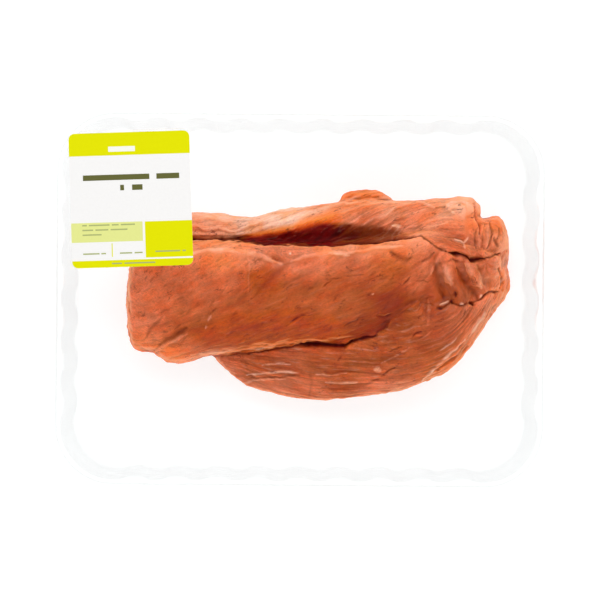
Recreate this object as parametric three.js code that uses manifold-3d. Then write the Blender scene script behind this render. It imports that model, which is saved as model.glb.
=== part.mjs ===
// A sealed meat tray pack: one folded pork tenderloin in a clear ribbed tray, closed by a clear
// top film that carries a paper price label. Millimetres, +Z up, the long side along X. The origin
// is under the middle of the pack, on the surface that it stands on.

import * as THREE from "three";
import { mergeVertices } from "three/addons/utils/BufferGeometryUtils.js";
import Module from "manifold-3d";

const wasm = await Module();
wasm.setup();

// Tray sizes
const TRAY_LENGTH = 227;
const TRAY_WIDTH = 178;
const TRAY_HEIGHT = 50;
const CORNER_RADIUS = 35;
const SKIN = 0.7; // thickness of the formed sheet
const RIM_WIDTH = 10.8; // from the outer edge to the edge of the opening
const LIP_WIDTH = 1.6; // the flat trimmed lip round the outside
const LIP_DROP = 2;
const STEP_WIDTH = 2.2; // the slope between the lip and the sealing face
const LEDGE_DEPTH = 5; // from the sealing face down to the stacking ledge
const LEDGE_WIDTH = 1.5;
const DRAFT = 2.4; // how far a wall leans in from the ledge to the floor
const RIB_DEPTH = 1.3;
const RIBS_LONG = 9; // ribs along a long wall
const RIBS_SHORT = 6;
const RIB_FOOT = 0.17; // where a rib starts and where its flat starts, as shares of the pitch
const RIB_FLAT = 0.31;
const CORNER_STEPS = 7;
const FOOT_RADIUS = 3.4;

// Film and label sizes
const GAP = 0.3; // between pieces that touch
const FILM_THICKNESS = 0.3;
const FILM_INSET = LIP_WIDTH + STEP_WIDTH + 0.3;
const LABEL_LENGTH = 51;
const LABEL_WIDTH = 56.8;
const LABEL_THICKNESS = 0.3;
const LABEL_CORNER = 2.6;
const LABEL_CENTRE = { x: -71.7, y: 41.8 };
const LABEL_TURN = THREE.MathUtils.degToRad(2.3); // stuck on a little askew

const STRAIGHT_X = TRAY_LENGTH / 2 - CORNER_RADIUS;
const STRAIGHT_Y = TRAY_WIDTH / 2 - CORNER_RADIUS;
const MEAT_FLOOR = SKIN + GAP;
const MEAT_TURN = THREE.MathUtils.degToRad(0.5); // how far it lies askew in the tray

// A geometry's triangles as a solid that can be joined and cut.
function solid(geometry) {
  const bare = geometry.clone();
  bare.deleteAttribute("normal");
  bare.deleteAttribute("uv");
  const merged = mergeVertices(bare, 1e-4);
  return new wasm.Manifold(
    new wasm.Mesh({
      numProp: 3,
      vertProperties: new Float32Array(merged.attributes.position.array),
      triVerts: new Uint32Array(merged.index.array),
    }),
  );
}

// The geometry of a solid, with flat faces.
function geometryOf(made) {
  const mesh = made.getMesh();
  const position = new Float32Array(mesh.numVert * 3);
  for (let i = 0; i < mesh.numVert; i++)
    position.set(mesh.vertProperties.subarray(i * mesh.numProp, i * mesh.numProp + 3), i * 3);
  const geometry = new THREE.BufferGeometry();
  geometry.setAttribute("position", new THREE.BufferAttribute(position, 3));
  geometry.setIndex(new THREE.BufferAttribute(new Uint32Array(mesh.triVerts), 1));
  geometry.computeVertexNormals();
  return geometry;
}

// A flat cap over a ring of points, as a strip across it. Reversed faces look down.
function capIndex(start, count, down) {
  const index = [];
  const face = (a, b, c) => index.push(start + a, start + (down ? c : b), start + (down ? b : c));
  for (let low = 0, high = count - 1; low + 1 < high; low++, high--) {
    face(low, low + 1, high);
    if (low + 2 < high) face(low + 1, high - 1, high);
  }
  return index;
}

// A closed skin over rings of points with equal counts, capped at the first and the last ring.
function loft(rings) {
  const count = rings[0].length;
  const index = capIndex(0, count, true);
  for (let r = 0; r + 1 < rings.length; r++)
    for (let i = 0; i < count; i++) {
      const [a, b] = [r * count + i, r * count + ((i + 1) % count)];
      index.push(a, b, b + count, a, b + count, a + count);
    }
  index.push(...capIndex((rings.length - 1) * count, count, false));
  const geometry = new THREE.BufferGeometry();
  geometry.setAttribute("position", new THREE.Float32BufferAttribute(rings.flat(2), 3));
  geometry.setIndex(index);
  return geometry;
}

// Points along one ribbed wall, from -half to half: how far along, and how far a rib stands in.
function wallSamples(half, ribs) {
  const pitch = (2 * half) / ribs;
  const samples = [];
  for (let n = 0; n < ribs; n++)
    for (const [share, rib] of [
      [RIB_FOOT, 0],
      [RIB_FLAT, 1],
      [1 - RIB_FLAT, 1],
      [1 - RIB_FOOT, 0],
    ])
      samples.push([-half + (n + share) * pitch, rib]);
  return samples;
}

// A rounded rectangle at a distance in from the tray's outer edge. Ribs stand in from its four
// walls by the share asked for.
function trayRing(inset, z, ribShare = 0) {
  const radius = CORNER_RADIUS - inset;
  const ring = [];
  for (let turn = 0; turn < 4; turn++) {
    const [reach, half, ribs] =
      turn % 2 === 0 ? [STRAIGHT_X, STRAIGHT_Y, RIBS_LONG] : [STRAIGHT_Y, STRAIGHT_X, RIBS_SHORT];
    const [c, s] = [Math.cos((turn * Math.PI) / 2), Math.sin((turn * Math.PI) / 2)];
    const place = (x, y) => ring.push([x * c - y * s, x * s + y * c, z]);
    for (let i = 0; i <= CORNER_STEPS; i++) {
      const angle = (i / CORNER_STEPS) * (Math.PI / 2);
      place(reach + radius * Math.cos(angle), half + radius * Math.sin(angle));
    }
    for (const [along, rib] of wallSamples(reach, ribs))
      place(-along, half + radius - rib * ribShare * RIB_DEPTH);
  }
  return ring;
}

// The clear tray as one folded skin: from the middle of its underside out and up the ribbed walls,
// under and round the rim, and back down the inside to the middle of the floor.
function trayGeometry() {
  const seal = LIP_WIDTH + STEP_WIDTH;
  const lip = TRAY_HEIGHT - LIP_DROP;
  const ledge = TRAY_HEIGHT - LEDGE_DEPTH;
  const foot = RIM_WIDTH + LEDGE_WIDTH + DRAFT;
  const inside = [
    [RIM_WIDTH, TRAY_HEIGHT],
    [RIM_WIDTH + 0.3, ledge],
    [RIM_WIDTH + LEDGE_WIDTH, ledge - 0.5, 1],
    [foot, SKIN + FOOT_RADIUS, 1],
    [foot + 0.3 * FOOT_RADIUS, SKIN + 0.3 * FOOT_RADIUS, 0.4],
    [foot + FOOT_RADIUS, SKIN],
  ];
  const outside = inside
    .map(([inset, z, ribs]) => [inset - SKIN, z - SKIN, ribs])
    .reverse();
  const rim = [
    [seal + 0.3 * SKIN, TRAY_HEIGHT - SKIN],
    [LIP_WIDTH + 0.3 * SKIN, lip - SKIN],
    [0, lip - SKIN],
    [0, lip],
    [LIP_WIDTH, lip],
    [seal, TRAY_HEIGHT],
  ];
  return loft([...outside, ...rim, ...inside].map((ring) => trayRing(...ring)));
}

// A flat sheet with rounded corners, its underside at z = 0.
function sheetGeometry(length, width, corner, thickness, arcSteps) {
  const [x, y] = [length / 2 - corner, width / 2 - corner];
  const outline = new THREE.Shape()
    .absarc(x, y, corner, 0, Math.PI / 2, false)
    .absarc(-x, y, corner, Math.PI / 2, Math.PI, false)
    .absarc(-x, -y, corner, Math.PI, 1.5 * Math.PI, false)
    .absarc(x, -y, corner, 1.5 * Math.PI, 2 * Math.PI, false)
    .closePath();
  return new THREE.ExtrudeGeometry(outline, {
    depth: thickness,
    bevelEnabled: false,
    curveSegments: arcSteps,
  });
}

// A smooth curve through (x, value) pairs, level beyond both ends.
function through(pairs) {
  const slope = (i) => {
    const [a, b] = [pairs[Math.max(i - 1, 0)], pairs[Math.min(i + 1, pairs.length - 1)]];
    return (b[1] - a[1]) / (b[0] - a[0]);
  };
  return (x) => {
    if (x <= pairs[0][0]) return pairs[0][1];
    if (x >= pairs.at(-1)[0]) return pairs.at(-1)[1];
    const i = pairs.findIndex((p) => p[0] > x) - 1;
    const [[x0, v0], [x1, v1]] = [pairs[i], pairs[i + 1]];
    const span = x1 - x0;
    const t = (x - x0) / span;
    const [t2, t3] = [t * t, t * t * t];
    return (
      v0 * (2 * t3 - 3 * t2 + 1) +
      slope(i) * span * (t3 - 2 * t2 + t) +
      v1 * (3 * t2 - 2 * t3) +
      slope(i + 1) * span * (t3 - t2)
    );
  };
}

// Lobes of the folded muscle. Each runs along X between two ends and is set out by its edges seen
// from above (near is the -Y one), its crest and its base. Round is how far each end is drawn in,
// square is how boxy its section is, and lean is how far its crest stands towards +Y.
const LOBES = [
  {
    // The upper half of the fold, from its cut end on the left to the bend on the right
    from: -75.4,
    to: 90,
    round: [4, 13],
    square: 2.7,
    lean: 3,
    steps: [58, 28],
    near: [
      [-75.4, -21], [-70, -22.3], [-64, -23.2], [-59, -26.4], [-53.5, -27.8], [-47, -26.6],
      [-41, -24.6], [-33, -23.6], [-21, -21.4], [-4, -19.4], [13, -18.2], [26, -16.4],
      [37, -12.4], [46, -6.4], [54, -1.6], [60, -0.6], [68, 0.8], [76, 2.2], [90, 7],
    ],
    far: [
      [-75.4, 17], [-69, 22.4], [-54, 25.6], [-36, 26.6], [-21, 26], [-4, 25.2], [13, 26],
      [30, 27.5], [43, 29.6], [54, 31.4], [60, 30.4], [68, 26.6], [76, 22.8], [90, 20],
    ],
    crest: [
      [-75.4, 28.5], [-66, 31.5], [-50, 33.5], [-30, 36], [0, 38.5], [30, 41], [50, 42.4],
      [64, 40.8], [76, 37.5], [84, 34], [90, 29],
    ],
    base: [[-60, 0], [-38, 0], [-25, 6], [60, 6], [80, 0]],
  },
  {
    // The lower half of the fold where it shows behind the upper one
    from: -71,
    to: 91.2,
    round: [12, 4.5],
    square: 2.35,
    lean: 3.6,
    steps: [54, 24],
    near: [[-71, 17], [-40, 20], [0, 19], [40, 18], [75, 14], [91.2, 12]],
    far: [
      [-71, 33.5], [-58.6, 37.2], [-47.8, 38.3], [-30.4, 37.2], [-18, 36.2], [-12, 38.6],
      [-4.3, 40], [8.7, 41.8], [20, 43.4], [32, 44], [41.3, 43.2], [52, 43.6], [60.8, 44.4],
      [68, 44.4], [73, 43], [76.5, 38], [79.5, 35.4], [83.5, 36.6], [87.5, 36.4], [91.2, 31],
    ],
    crest: [
      [-71, 15], [-50, 19.5], [-30, 21], [-12, 22.5], [8, 27], [28, 31], [50, 34.4], [68, 35],
      [80, 32], [91.2, 24],
    ],
    base: [[-71, 0], [91, 0]],
  },
  {
    // The lower half where it shows in front, a belly that tapers to the left
    from: -41.5,
    to: 92.6,
    round: [7, 7],
    square: 2.1,
    lean: 9,
    steps: [50, 24],
    near: [
      [-41.5, -23], [-37.8, -25.4], [-34.7, -28.6], [-28.2, -34], [-23.9, -37.2], [-15.1, -40.2],
      [-4.3, -42.6], [6.5, -44], [17.3, -43.6], [30.2, -41.6], [43, -39.6], [54.3, -35.8],
      [64.8, -30.8], [73.4, -21.4], [79.8, -12.4], [86.3, -3.4], [92.6, 1],
    ],
    far: [[-41.5, -10], [-20, 0], [20, 8], [60, 16], [80, 17], [92.6, 13]],
    crest: [
      [-41.5, 13], [-30, 19], [-14, 23.5], [8, 27.5], [26, 31], [42, 36], [58, 39.2], [70, 38.4],
      [80, 33.5], [87, 25], [92.6, 14],
    ],
    base: [[-41.5, 0], [92.6, 0]],
  },
];

// Small flaps: middle, half sizes along and across, turn in degrees, top and base.
const FLAPS = [
  { at: [29, 43.2], half: [12, 5.2], turn: -4, top: 15.5, base: 3 }, // thin fold at the back
  { at: [68.5, 38.2], half: [9.5, 6.6], turn: 4, top: 36.6, base: 10 }, // pale swelling by the notch
];
const FLAP_SQUARE = 2.1;
const FLAP_STEPS = [12, 14];

// Relief seen from above: a line of points, how high it stands (or how deep it goes, negative)
// and how wide it is.
const RELIEF = [
  { line: [[-9.5, 16.3], [-13.5, 11.5], [-18.5, 4.5], [-22, -1]], rise: -1.9, width: 3.6 },
  { line: [[-9.8, 17.6], [-10.5, 22]], rise: -1.4, width: 3 },
  { line: [[-66, -24], [-58, -18.5], [-49, -12], [-41, -8]], rise: -2.3, width: 2.4 },
  { line: [[-64.5, -15.5], [-60, -9], [-57, -5]], rise: -1, width: 2 },
  { line: [[58.5, 17], [60.3, 10], [63, 4], [65.5, -0.5]], rise: -3.4, width: 2.8 },
  { line: [[67.5, 17], [70, 11], [72.5, 5], [74, 1.5]], rise: -3, width: 2.4 },
  { line: [[76, 18.5], [78.5, 12.5], [81, 7.5]], rise: -2.4, width: 2.2 },
  { line: [[53, -2], [58, -1.6], [66, 0], [74, 1.8], [80, 4.6], [86, 8.4]], rise: -4, width: 1.7 },
  { line: [[62, 19], [62.8, 12], [66.5, 5]], rise: 1.7, width: 2.4 },
  { line: [[71.5, 19.5], [74.5, 12], [77, 6.5]], rise: 1.7, width: 2.6 },
  { line: [[-45, 22.6], [-30, 22.9], [-16, 19.6]], rise: 1.1, width: 2 },
  { line: [[-5, 20.4], [20, 22], [40, 25], [55, 28]], rise: 1.1, width: 2 },
];

// Distance from a point to a line of points.
function distanceTo(line, x, y) {
  let least = Infinity;
  for (let i = 0; i + 1 < line.length; i++) {
    const [[x0, y0], [x1, y1]] = [line[i], line[i + 1]];
    const [dx, dy] = [x1 - x0, y1 - y0];
    const along = ((x - x0) * dx + (y - y0) * dy) / (dx * dx + dy * dy);
    const t = THREE.MathUtils.clamp(along, 0, 1);
    least = Math.min(least, Math.hypot(x - x0 - t * dx, y - y0 - t * dy));
  }
  return least;
}

// How far the folds and ridges lift a point of the upper surface.
function reliefAt(x, y) {
  return RELIEF.reduce(
    (sum, { line, rise, width }) => sum + rise * Math.exp(-((distanceTo(line, x, y) / width) ** 2)),
    0,
  );
}

// A superellipse's cosine or sine.
function squared(value, square) {
  return Math.sign(value) * Math.abs(value) ** (2 / square);
}

// How full a section is near an end, as the edge of a superellipse.
function fullness(distance, reach) {
  const share = THREE.MathUtils.clamp(distance / reach, 0, 1);
  return (1 - (1 - share) ** 2.2) ** (1 / 2.2);
}

// One lobe as a closed skin of sections across X.
function lobeGeometry({ from, to, round, square, lean, steps, ...curves }) {
  const [near, far, crest, base] = ["near", "far", "crest", "base"].map((k) => through(curves[k]));
  const [along, around] = steps;
  const rings = [];
  for (let i = 0; i < along; i++) {
    const share = (i + 0.35) / (along - 0.3);
    const eased = share - 0.11 * Math.sin(2 * Math.PI * share);
    const x = from + (to - from) * eased;
    const full = fullness(x - from, round[0]) * fullness(to - x, round[1]);
    const [y0, y1, z0, z1] = [near(x), far(x), base(x), crest(x)];
    const waist = z0 + 0.42 * (z1 - z0);
    const ring = [];
    for (let k = 0; k < around; k++) {
      const angle = (2 * Math.PI * k) / around;
      const [across, up] = [squared(Math.cos(angle), square), squared(Math.sin(angle), square)];
      const shift = up > 0 ? lean * full * up ** 3 : 0;
      const y = (y0 + y1) / 2 + ((y1 - y0) / 2) * full * across + shift;
      const z = waist + (up > 0 ? z1 - waist : waist - z0) * full * up;
      ring.push([x, y, z + (up > 0 ? up * reliefAt(x, y) : 0)]);
    }
    rings.push(ring);
  }
  return loft(rings);
}

// One flap as a flattened egg, turned in plan.
function flapGeometry({ at, half, turn, top, base }) {
  const [along, around] = FLAP_STEPS;
  const angle = THREE.MathUtils.degToRad(turn);
  const [middle, tall] = [(top + base) / 2, (top - base) / 2];
  const rings = [];
  for (let i = 1; i < along; i++) {
    const u = -Math.cos((Math.PI * i) / along);
    const full = (1 - Math.abs(u) ** FLAP_SQUARE) ** (1 / FLAP_SQUARE);
    const ring = [];
    for (let k = 0; k < around; k++) {
      const t = (2 * Math.PI * k) / around;
      const [dx, dy] = [u * half[0], full * half[1] * squared(Math.cos(t), FLAP_SQUARE)];
      const x = at[0] + dx * Math.cos(angle) - dy * Math.sin(angle);
      const y = at[1] + dx * Math.sin(angle) + dy * Math.cos(angle);
      ring.push([x, y, middle + tall * full * squared(Math.sin(t), FLAP_SQUARE)]);
    }
    rings.push(ring);
  }
  return loft(rings);
}

// The folded tenderloin: its lobes and flaps joined, cut level where it lies on the tray's floor.
function meatGeometry() {
  const pieces = [...LOBES.map(lobeGeometry), ...FLAPS.map(flapGeometry)].map(solid);
  const joined = pieces.reduce((all, piece) => all.add(piece));
  const room = new THREE.BoxGeometry(TRAY_LENGTH, TRAY_WIDTH, TRAY_HEIGHT);
  room.translate(0, 0, MEAT_FLOOR + TRAY_HEIGHT / 2);
  return geometryOf(joined.intersect(solid(room))).rotateZ(MEAT_TURN);
}

function part() {
  const plastic = { roughness: 0.08, metalness: 0, transparent: true };
  const group = new THREE.Group();
  const add = (name, geometry, look) => {
    const mesh = new THREE.Mesh(geometry, new THREE.MeshStandardMaterial(look));
    mesh.name = name;
    group.add(mesh);
    return mesh;
  };
  add("tray", trayGeometry(), { ...plastic, color: "#eef2f2", opacity: 0.3 });
  add("tenderloin", meatGeometry(), { color: "#c26a44", roughness: 0.38, metalness: 0 });
  const filmLength = TRAY_LENGTH - 2 * FILM_INSET;
  const filmWidth = TRAY_WIDTH - 2 * FILM_INSET;
  const film = add(
    "film",
    sheetGeometry(filmLength, filmWidth, CORNER_RADIUS - FILM_INSET, FILM_THICKNESS, 7),
    { ...plastic, color: "#f6f8f8", opacity: 0.15 },
  );
  film.position.z = TRAY_HEIGHT + GAP;
  const label = add(
    "label",
    sheetGeometry(LABEL_LENGTH, LABEL_WIDTH, LABEL_CORNER, LABEL_THICKNESS, 3),
    { color: "#f7f6f5", roughness: 0.55, metalness: 0 },
  );
  label.position.set(LABEL_CENTRE.x, LABEL_CENTRE.y, film.position.z + FILM_THICKNESS + GAP);
  label.rotation.z = LABEL_TURN;
  return group;
}

export default part();
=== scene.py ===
"""Looks of a sealed meat tray pack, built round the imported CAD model.

Shapes are worked out in millimetres in the CAD frame and turned into metres where a mesh is made.
"""

import itertools
import math
from types import SimpleNamespace

import bmesh
import bpy
import numpy as np
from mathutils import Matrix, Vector


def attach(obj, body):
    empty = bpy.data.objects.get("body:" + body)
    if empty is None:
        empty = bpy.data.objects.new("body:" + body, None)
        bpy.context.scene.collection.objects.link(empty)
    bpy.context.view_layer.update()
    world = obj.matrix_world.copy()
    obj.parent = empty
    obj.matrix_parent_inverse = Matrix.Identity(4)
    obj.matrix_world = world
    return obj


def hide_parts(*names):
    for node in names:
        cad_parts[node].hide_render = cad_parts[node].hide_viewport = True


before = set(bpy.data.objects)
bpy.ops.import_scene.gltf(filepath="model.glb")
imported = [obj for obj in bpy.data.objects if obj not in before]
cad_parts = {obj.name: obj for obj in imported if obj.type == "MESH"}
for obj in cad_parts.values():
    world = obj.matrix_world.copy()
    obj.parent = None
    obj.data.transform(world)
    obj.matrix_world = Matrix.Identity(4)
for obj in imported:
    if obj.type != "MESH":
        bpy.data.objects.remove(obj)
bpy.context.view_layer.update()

MM = 0.001

# Tray, as in the CAD
TRAY_LENGTH = 227.0
TRAY_WIDTH = 178.0
TRAY_HEIGHT = 50.0
CORNER_RADIUS = 35.0
RIM_WIDTH = 10.8
LEDGE_DEPTH = 5.0
LEDGE_WIDTH = 1.5
DRAFT = 2.4
RIB_DEPTH = 1.3
RIBS_LONG = 9
RIBS_SHORT = 6
LIP_WIDTH = 1.6
LIP_DROP = 2.0
STEP_WIDTH = 2.2
SHEET = 0.45
STRAIGHT_X = TRAY_LENGTH / 2 - CORNER_RADIUS
STRAIGHT_Y = TRAY_WIDTH / 2 - CORNER_RADIUS

# Label
LABEL_LENGTH = 51.0
LABEL_WIDTH = 56.8
LABEL_CORNER = 2.6
LABEL_CENTRE = (-71.7, 41.8)
LABEL_TURN = math.radians(2.3)
LABEL_THICKNESS = 0.14
PRINT_THICKNESS = 0.03

# What the clear sheets let through, from seen square on (0) to edge on (1)
TRAY_TINTS = [
    (0.06, (0.994, 0.996, 0.996, 1)),
    (0.3, (0.955, 0.963, 0.962, 1)),
    (0.82, (0.96, 0.968, 0.967, 1)),
    (0.93, (0.982, 0.986, 0.986, 1)),
    (0.965, (0.97, 0.976, 0.976, 1)),
    (1.0, (0.72, 0.735, 0.735, 1)),
]
FILM_TINTS = [
    (0.06, (0.999, 0.999, 0.999, 1)),
    (0.3, (0.99, 0.99, 0.99, 1)),
    (0.93, (0.99, 0.99, 0.99, 1)),
    (1.0, (0.6, 0.6, 0.6, 1)),
]

# How much the clear sheets reflect where they are seen square on
GLOSS_FACE_ON = 0.012

# Meat: the mesh is finer where a normal leans up by the first share, and marks show fully by the second
MEAT_VOXEL = 1.09
LOOKS_UP = (0.12, 0.45)
LOWEST, HIGHEST = 1.0, 49.2  # between the tray's floor and the film

# Stage: the lit table is even out to the first reach and ends at the second, in metres
TABLE_REACH = (0.135, 0.26)
TABLE_LIGHT = (0.77, 0.02)
TABLE_GREY = (0.46, 0.46, 0.46, 1)
LAMPS = [  # name, place, size, energy
    ("key", (0.05, 0.8, 1.2), (2.0, 0.8), 10.2),
    ("fill", (0.0, -0.8, 1.0), (1.4, 0.6), 4.1),
]

CAMERA_HEIGHT = 1100.0  # above the rim
CAMERA_ROLL = math.radians(0.5)
FRAME_WIDTH = 253.2  # what the picture shows at the rim
PICTURE = 600  # pixels across
SENSOR = 36.0


def srgb(red, green, blue):
    """A colour given as 0-255 display values, as linear light with alpha."""
    values = [c / 255 for c in (red, green, blue)]
    linear = [c / 12.92 if c <= 0.04045 else ((c + 0.055) / 1.055) ** 2.4 for c in values]
    return (*linear, 1.0)


def show(thing):
    bpy.context.scene.collection.objects.link(thing)


def make_piece(name, vertices, faces, material, smooth=True):
    """A mesh piece from millimetre points, riding on the pack's one body."""
    mesh = bpy.data.meshes.new(name)
    mesh.from_pydata((np.asarray(vertices, float) * MM).tolist(), [], faces)
    mesh.update()
    mesh.polygons.foreach_set("use_smooth", [smooth] * len(mesh.polygons))
    mesh.materials.append(material)
    piece = bpy.data.objects.new(name, mesh)
    show(piece)
    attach(piece, "root")
    return piece


# Materials


def new_material(name):
    """A material without nodes, and a helper that adds them."""
    material = bpy.data.materials.new(name)
    material.use_nodes = True
    tree = material.node_tree
    tree.nodes.clear()

    def add(kind, inputs=None, **settings):
        """Adds a node, and gives each input a value or joins it to another node's output."""
        node = tree.nodes.new("ShaderNode" + kind)
        for key, value in settings.items():
            setattr(node, key, value)
        for key, value in (inputs or {}).items():
            if isinstance(value, bpy.types.NodeSocket):
                tree.links.new(value, node.inputs[key])
            else:
                node.inputs[key].default_value = value
        return node

    return material, add


def colour_ramp(node, stops):
    """Sets a colour ramp's stops from (position, colour) pairs."""
    ramp = node.color_ramp
    while len(ramp.elements) > 1:
        ramp.elements.remove(ramp.elements[-1])
    ramp.elements[0].position, ramp.elements[0].color = stops[0]
    for position, colour in stops[1:]:
        ramp.elements.new(position).color = colour


def fine_noise(add, scale, octaves, strength, depth):
    """A noise over a whole piece, and the normal of the bumps that it makes."""
    place = add("TexCoord").outputs["Object"]
    waves = add("TexNoise", {"Vector": place, "Scale": scale, "Detail": octaves}).outputs["Fac"]
    bump = add("Bump", {"Strength": strength, "Distance": depth, "Height": waves})
    return waves, bump.outputs["Normal"]


def clear_plastic(name, tints, gloss_at_edge, roughness, bump_scale, bump_distance):
    """Clear sheet: the more it leans away, the more it reflects and tints what it lets through."""
    material, add = new_material(name)
    normal = fine_noise(add, bump_scale, 2.0, 1.0, bump_distance)[1]
    leaning = add("LayerWeight", {"Blend": 0.5, "Normal": normal}).outputs["Facing"]
    glance = add("Math", {0: leaning, 1: 5.0}, operation="POWER").outputs["Value"]
    share = add("MapRange", {"Value": glance, "To Min": GLOSS_FACE_ON, "To Max": gloss_at_edge})
    depth = add("ValToRGB", {"Fac": leaning})
    colour_ramp(depth, tints)
    through = add("BsdfTransparent", {"Color": depth.outputs["Color"]}).outputs["BSDF"]
    gloss = add("BsdfGlossy", {"Roughness": roughness, "Normal": normal}).outputs["BSDF"]
    sheet = add("MixShader", {"Fac": share.outputs["Result"], 1: through, 2: gloss})
    add("OutputMaterial", {"Surface": sheet.outputs["Shader"]})
    return material


def printed_paper(name, display):
    """Coated label paper with one printed colour, faintly mottled by its fibres."""
    material, add = new_material(name)
    fibres, normal = fine_noise(add, 900.0, 4.0, 0.3, 0.00002)
    mottle = add("MapRange", {"Value": fibres, "To Min": 0.965, "To Max": 1.02}).outputs["Result"]
    shade = add("VectorMath", {0: srgb(*display)[:3], "Scale": mottle}, operation="SCALE")
    paper = {
        "Base Color": shade.outputs["Vector"],
        "Roughness": 0.5,
        "Specular IOR Level": 0.06,
        "Normal": normal,
    }
    add("OutputMaterial", {"Surface": add("BsdfPrincipled", paper).outputs["BSDF"]})
    return material


def value_nodes(add):
    """Helpers for the meat's nodes: a noise along the grain, a change of range, and arithmetic."""
    grain = add("Attribute", attribute_name="grain").outputs["Vector"]

    def noise_at(stretch, octaves=3.0):
        place = add("Mapping", {"Vector": grain, "Scale": stretch}).outputs["Vector"]
        return add("TexNoise", {"Vector": place, "Scale": 1.0, "Detail": octaves}).outputs["Fac"]

    def remap(value, low, high, to_low, to_high):
        ends = {"Value": value, "From Min": low, "From Max": high, "To Min": to_low, "To Max": to_high}
        return add("MapRange", ends).outputs["Result"]

    def combine(operation, first, second):
        return add("Math", {0: first, 1: second}, operation=operation).outputs["Value"]

    return noise_at, remap, combine


def flesh_tones(add, strands, threads, silverskin_and_sheen, slits):
    """The painted flesh colour, shaded by its fibres, with pale streaks of silverskin and painted sheen,
    and dark slits in painted shade.
    """
    noise_at, _, combine = value_nodes(add)
    painted = add("Attribute", attribute_name="flesh").outputs["Color"]
    tone = combine("ADD", combine("MULTIPLY", strands, 0.14), combine("MULTIPLY", threads, 0.15))
    shaded = add("VectorMath", {0: painted, "Scale": combine("ADD", tone, 1.0)}, operation="SCALE")
    tint = add("ValToRGB", {"Fac": noise_at((0.13, 0.2, 0.2), 4.0)})
    browner, pinker = (0.97, 0.8, 0.6, 1), (1.0, 1.12, 1.27, 1)
    colour_ramp(tint, [(0.36, browner), (0.5, (1, 1, 1, 1)), (0.62, pinker)])
    factors = {0: shaded.outputs["Vector"], 1: tint.outputs["Color"]}
    colour = add("VectorMath", factors, operation="MULTIPLY").outputs["Vector"]
    # Pale streaks of silverskin and painted sheen, then the slits' painted shade in dark red
    for share, display in ((silverskin_and_sheen, (250, 190, 160)), (slits, (104, 30, 8))):
        mixed = add("Mix", {"Factor": share, "A": colour, "B": srgb(*display)}, data_type="RGBA")
        colour = mixed.outputs["Result"]
    return colour


def raw_meat(name):
    """Moist raw pork: its painted flesh colour, with long strands, fine threads and small slits."""
    material, add = new_material(name)
    noise_at, remap, combine = value_nodes(add)
    stringy, wet, glow, detail = (
        add("Attribute", attribute_name=attribute).outputs["Fac"]
        for attribute in ("stringy", "wet", "glow", "detail")
    )
    strands = remap(noise_at((0.085, 1.5, 1.5), 5.0), 0.3, 0.7, -1.0, 1.0)
    threads = remap(noise_at((1.1, 1.7, 1.7), 5.0), 0.3, 0.7, -1.0, 1.0)
    strands = combine("MULTIPLY", strands, stringy)
    threads = combine("MULTIPLY", threads, detail)
    # Pale streaks: silverskin, and a painted sheen along the strands
    silverskin_and_sheen = combine("MULTIPLY", remap(noise_at((0.06, 0.9, 0.9), 4.0), 0.56, 0.76, 0.0, 0.24), stringy)

    # Thin slits run where one noise is near its middle, in the spots where another is high
    away = combine("ABSOLUTE", combine("SUBTRACT", noise_at((0.2, 0.6, 0.5), 4.0), 0.5), 0.0)
    broken = remap(noise_at((0.2, 0.26, 0.26)), 0.55, 0.65, 0.0, 0.7)
    slits = combine("MULTIPLY", remap(away, 0.025, 0.006, 0.0, 1.0), combine("MULTIPLY", broken, detail))

    relief = combine("ADD", combine("MULTIPLY", strands, 0.9), combine("MULTIPLY", threads, 0.5))
    relief = combine("SUBTRACT", relief, combine("MULTIPLY", slits, 1.5))
    normal = add("Bump", {"Strength": 0.8, "Distance": 0.0002, "Height": relief}).outputs["Normal"]
    colour = flesh_tones(add, strands, threads, silverskin_and_sheen, slits)
    flesh = {
        "Base Color": colour,
        "Roughness": remap(threads, -1.0, 1.0, 0.35, 0.6),
        "Specular IOR Level": 0.05,
        "Subsurface Weight": 0.2,
        "Subsurface Radius": (1.0, 0.3, 0.12),
        "Subsurface Scale": 0.0022,
        "Coat Weight": wet,
        "Coat Roughness": 0.22,
        # Painted light: the glow makes the palest flesh shine by itself
        "Emission Color": colour,
        "Emission Strength": glow,
        "Normal": normal,
        "Coat Normal": normal,
    }
    add("OutputMaterial", {"Surface": add("BsdfPrincipled", flesh).outputs["BSDF"]})
    material.cycles.emission_sampling = "NONE"
    return material


# Tray


def smoothstep(low, high, value):
    share = np.clip((value - low) / (high - low), 0.0, 1.0)
    return share * share * (3 - 2 * share)


def rib_samples(half, ribs, per_rib=10):
    """How far along a wall each sample is, and how far the rib stands in there, 0 to 1."""
    pitch = 2 * half / ribs
    share = (np.arange(ribs * per_rib) + 0.5) / per_rib
    within = share % 1.0
    rib = smoothstep(0.12, 0.36, within) * (1 - smoothstep(0.64, 0.88, within))
    return -half + share * pitch, rib


def tray_ring(inset, height, rib_share, corner_steps=16):
    """A rounded rectangle in from the tray's outer edge, with ribs standing in from its walls."""
    radius = CORNER_RADIUS - inset
    angles = np.linspace(0, math.pi / 2, corner_steps + 1)
    points = []
    for turn in range(4):
        if turn % 2 == 0:
            reach, half, ribs = STRAIGHT_X, STRAIGHT_Y, RIBS_LONG
        else:
            reach, half, ribs = STRAIGHT_Y, STRAIGHT_X, RIBS_SHORT
        along, rib = rib_samples(reach, ribs)
        x = np.concatenate([reach + radius * np.cos(angles), -along])
        y = np.concatenate([half + radius * np.sin(angles), half + radius - rib * rib_share * RIB_DEPTH])
        c, s = round(math.cos(turn * math.pi / 2)), round(math.sin(turn * math.pi / 2))
        points.append(np.column_stack([x * c - y * s, x * s + y * c, np.full(len(x), height)]))
    return np.concatenate(points)


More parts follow.
